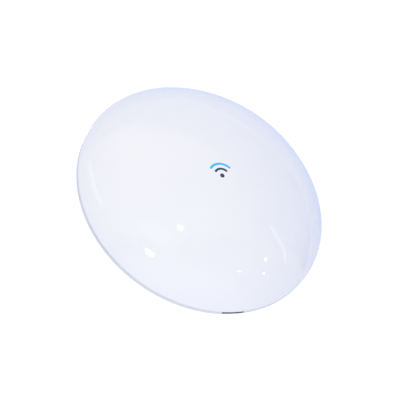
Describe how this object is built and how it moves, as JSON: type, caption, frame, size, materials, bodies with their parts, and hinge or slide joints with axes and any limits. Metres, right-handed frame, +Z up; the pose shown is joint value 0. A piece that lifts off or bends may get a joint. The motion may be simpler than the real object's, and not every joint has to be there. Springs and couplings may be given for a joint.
{
  "type": "outdoor wireless bridge",
  "caption": "Round-dish outdoor wireless bridge: domed radome, rear shell, radio housing and lockable ball-joint mast mount.",
  "frame": {"origin": "on the mast's axis, at the height of the ball's centre, which is the middle of the saddle", "axes": "+Z up along the mast, -Y along the dish's boresight, +X to the right seen from the front"},
  "size_m": [0.189, 0.126, 0.189],
  "materials": {
    "radome_plastic": "gloss",
    "shell_plastic": "satin",
    "housing_plastic": "fine moulded texture",
    "nut_plastic": "fine moulded texture",
    "mount_plastic": "glass-filled, fine texture",
    "cover_plastic": "fine moulded texture",
    "bearing_plastic": "satin acetal",
    "seal_rubber": "matte",
    "reflector_metal": "satin",
    "screw_steel": "passivated",
    "feed_plastic": "satin",
    "circuit_board": "solder mask",
    "copper": "tinned copper",
    "gold_contact": "gold flash",
    "can_steel": "tinned",
    "chip_black": "moulded epoxy",
    "jack_black": "moulded",
    "led_lens": "clear epoxy",
    "light_pipe": "clear polycarbonate",
    "label_film": "printed film, blank",
    "vent_grey": "satin",
    "button_plastic": "satin"
  },
  "bodies": {
    "mast_mount": {"ball_mount": "mount_plastic"},
    "collet": {"collet_ring": "bearing_plastic"},
    "seat": {"ball_seat": "bearing_plastic"},
    "dish": {"radome": "radome_plastic", "rim_seal": "seal_rubber", "rear_shell": "shell_plastic", "reflector": "reflector_metal", "reflector_screws": "screw_steel", "feed_tube": "feed_plastic", "feed_board": "circuit_board", "feed_dipoles": "copper", "feed_cap": "feed_plastic", "sub_reflector": "reflector_metal", "radio_housing": "housing_plastic", "housing_foot": "housing_plastic", "housing_gasket": "seal_rubber", "housing_screws": "screw_steel", "breather_vent": "vent_grey", "id_label": "label_film", "light_pipes": "light_pipe", "main_board": "circuit_board", "board_screws": "screw_steel", "processor_can": "can_steel", "radio_can": "can_steel", "board_chips": "chip_black", "power_parts": "chip_black", "status_leds": "led_lens", "jack_shield": "can_steel", "jack_body": "jack_black", "jack_contacts": "gold_contact", "reset_switch": "chip_black"},
    "clamp_washer": {"slip_ring": "bearing_plastic"},
    "clamp_nut": {"lock_nut": "nut_plastic"},
    "cover": {"port_cover": "cover_plastic"},
    "reset": {"reset_button": "button_plastic"}
  },
  "joints": [
    {"name": "pan", "type": "hinge", "parent": "mast_mount", "child": "collet", "pos_m": [0, -0.042, 0], "axis": [0, 0, 1], "range_deg": [-15, 15]},
    {"name": "tilt", "type": "hinge", "parent": "collet", "child": "seat", "pos_m": [0, -0.042, 0], "axis": [1, 0, 0], "range_deg": [-15, 15]},
    {"name": "roll", "type": "hinge", "parent": "seat", "child": "dish", "pos_m": [0, -0.042, 0], "axis": [0, 1, 0], "continuous": true},
    {"name": "nut_advance", "type": "slide", "parent": "dish", "child": "clamp_washer", "axis": [0, 1, 0], "range_m": [0, 0.0015]},
    {"name": "nut_turn", "type": "hinge", "parent": "clamp_washer", "child": "clamp_nut", "pos_m": [0, -0.042, 0], "axis": [0, 1, 0], "range_deg": [0, 270]},
    {"name": "cover_slide", "type": "slide", "parent": "dish", "child": "cover", "axis": [0, 0, -1], "range_m": [0, 0.022]},
    {"name": "reset_press", "type": "slide", "parent": "dish", "child": "reset", "axis": [0, 0, 1], "range_m": [0, 0.0006], "stiffness_N_per_m": 400}
  ],
  "couplings": [
    {"joint": "nut_turn", "follows": "nut_advance", "rad_per_m": 3141.6}
  ]
}
